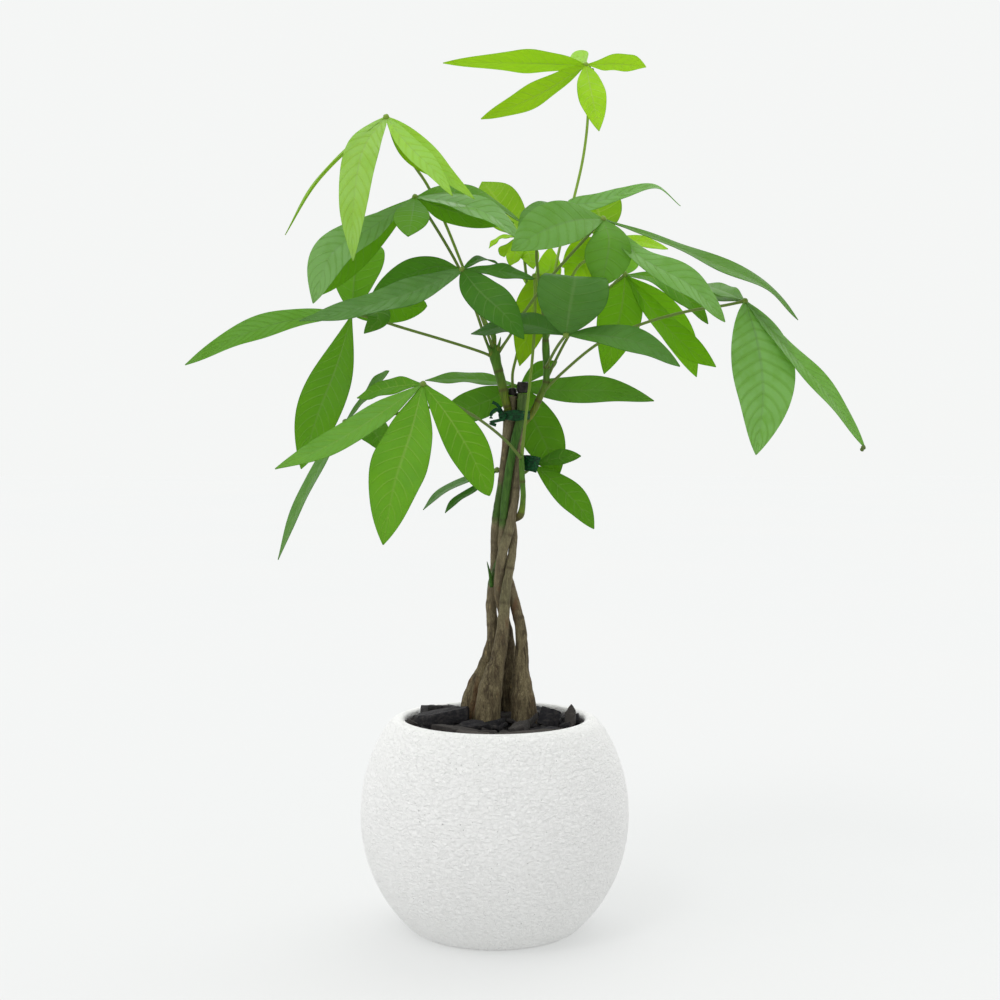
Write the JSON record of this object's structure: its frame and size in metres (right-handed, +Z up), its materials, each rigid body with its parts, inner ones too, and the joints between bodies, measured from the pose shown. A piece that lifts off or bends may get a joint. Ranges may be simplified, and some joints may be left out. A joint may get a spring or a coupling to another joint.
{
  "type": "potted money tree",
  "caption": "Braided-stem money tree with palmate leaves, standing in an off-white ball planter filled with soil under dark bark chips.",
  "frame": {"origin": "middle of the flat underside of the pot, on the floor", "axes": "+Z up, -Y towards the front of the plant, +X to the right as seen from the front"},
  "size_m": [0.5338, 0.2516, 0.7418],
  "materials": {
    "pot": "matt, finely wrinkled",
    "soil": "crumbly potting mix",
    "bark_chips": "dark dyed bark, matt",
    "bark": "smooth grey-brown bark",
    "green_shoot": "young green bark, satin",
    "seal": "black wax",
    "tie": "satin strip",
    "leaf_lime": "thin young leaf, satin",
    "leaf_bright": "leaf, satin",
    "leaf_green": "leaf, satin",
    "leaf_dark": "mature leaf, satin"
  },
  "bodies": {
    "root": {"pot": "pot", "soil": "soil", "bark_mulch": "bark_chips", "stem_front": "bark", "stem_right": "bark", "stem_middle": "bark", "stem_left": "bark", "stem_back": "bark", "branch_left": "green_shoot", "branch_right": "green_shoot", "shoot_side": "green_shoot", "seal_back": "seal", "seal_right": "seal", "seal_front": "seal", "seal_middle": "seal", "seal_left": "seal", "tie_top": "tie", "tie_side": "tie", "leaf_top": "leaf_lime", "leaf_high_left": "leaf_lime", "leaf_middle_left": "leaf_green", "leaf_long_left": "leaf_dark", "leaf_hanging_left": "leaf_green", "leaf_upper_right": "leaf_green", "leaf_curled_back": "leaf_green", "leaf_lime_back_right": "leaf_lime", "leaf_lime_back_left": "leaf_lime", "leaf_lime_centre": "leaf_lime", "leaf_dark_centre": "leaf_dark", "leaf_lime_right": "leaf_bright", "leaf_far_right": "leaf_green", "leaf_front_left": "leaf_bright", "leaf_behind_left": "leaf_green", "leaf_behind_stems": "leaf_green", "leaf_low_right": "leaf_green", "leaf_low_left": "leaf_dark"}
  },
  "joints": []
}
